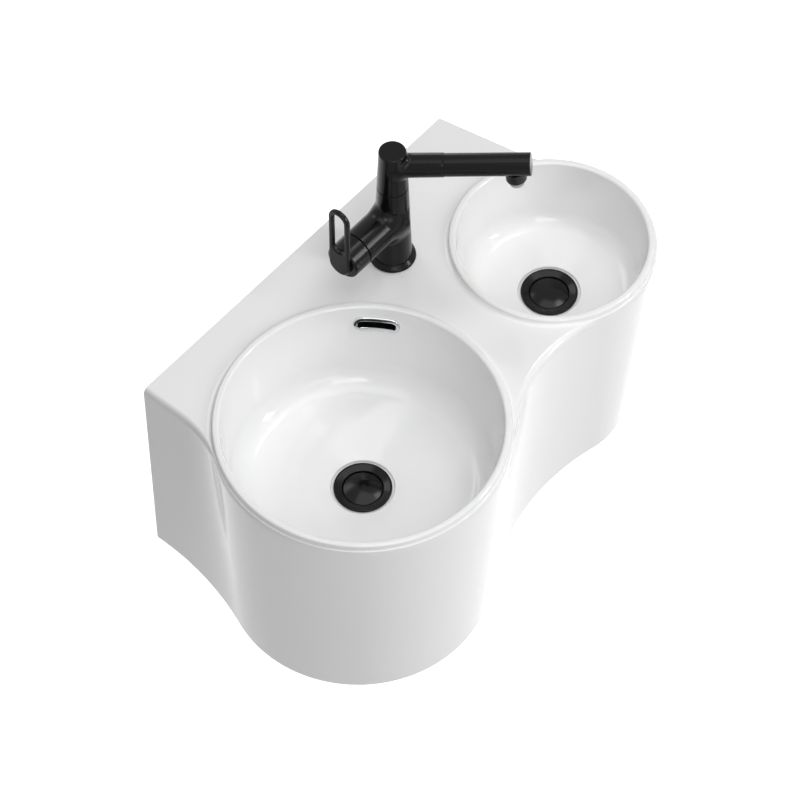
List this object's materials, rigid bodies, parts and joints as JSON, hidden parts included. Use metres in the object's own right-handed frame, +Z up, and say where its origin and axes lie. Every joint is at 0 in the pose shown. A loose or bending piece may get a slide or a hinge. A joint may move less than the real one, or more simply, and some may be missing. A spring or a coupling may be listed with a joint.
{
  "type": "wall-hung basin",
  "caption": "Wall-hung ceramic basin with a large and a small round bowl, press-open wastes, and a side-lever mixer tap with a swivelling spout and a pull-out head.",
  "frame": {"origin": "on the wall plane, midway between the two wall bolt holes", "axes": "+Z up, -Y out from the wall towards the user, +X to the right as the user sees it"},
  "size_m": [0.6176, 0.381, 0.4824],
  "materials": {
    "white_glaze": "white glossy glaze",
    "chrome_plate": "polished chrome",
    "black_gloss": "glossy black coat",
    "black_satin": "satin black coat",
    "black_rubber": "moulded rubber",
    "grey_plastic": "moulded plastic",
    "white_plastic": "moulded white plastic",
    "raw_brass": "machined brass",
    "plain_steel": "plain stainless steel"
  },
  "bodies": {
    "basin": {"ceramic_basin": "white_glaze", "overflow_ring": "chrome_plate", "big_waste_body": "black_gloss", "small_waste_body": "black_gloss", "big_flange_seal": "black_rubber", "small_flange_seal": "black_rubber", "big_lower_washer": "black_rubber", "small_lower_washer": "black_rubber", "big_back_nut": "grey_plastic", "small_back_nut": "grey_plastic", "big_click_cartridge": "grey_plastic", "small_click_cartridge": "grey_plastic", "tap_gasket": "black_rubber", "tap_foot_ring": "black_satin", "tap_body": "black_satin", "threaded_shank": "raw_brass", "rubber_washer": "black_rubber", "steel_washer": "plain_steel", "shank_nut": "raw_brass", "slide_ring": "grey_plastic", "lower_swivel_seal": "black_rubber", "upper_swivel_seal": "black_rubber", "mixing_cartridge": "grey_plastic", "cartridge_nut": "raw_brass"},
    "lever": {"lever_stem": "raw_brass", "lever_cap": "black_satin", "lever_loop": "black_satin", "lever_screw": "plain_steel"},
    "spout": {"spout": "black_satin", "spout_screw": "plain_steel"},
    "head": {"spray_head": "black_satin", "nozzle_collar": "black_satin", "jet_insert": "white_plastic", "head_hose": "plain_steel"},
    "big_plug": {"big_plug": "black_gloss", "big_plug_stem": "raw_brass", "big_plug_seal": "black_rubber"},
    "small_plug": {"small_plug": "black_gloss", "small_plug_stem": "raw_brass", "small_plug_seal": "black_rubber"}
  },
  "joints": [
    {"name": "spout_swivel", "type": "hinge", "parent": "basin", "child": "spout", "pos_m": [0.0638, -0.0885, 0.24], "axis": [0, 0, 1], "range_deg": [-95, 35]},
    {"name": "head_pull_out", "type": "slide", "parent": "spout", "child": "head", "axis": [0.5693, -0.813, 0.1219], "range_m": [0, 0.04]},
    {"name": "lever_turn", "type": "hinge", "parent": "basin", "child": "lever", "pos_m": [0.0038, -0.0885, 0.174], "axis": [1, 0, 0], "range_deg": [0, 100]},
    {"name": "big_plug_lift", "type": "slide", "parent": "basin", "child": "big_plug", "axis": [0, 0, 1], "range_m": [0, 0.008]},
    {"name": "small_plug_lift", "type": "slide", "parent": "basin", "child": "small_plug", "axis": [0, 0, 1], "range_m": [0, 0.008]}
  ]
}
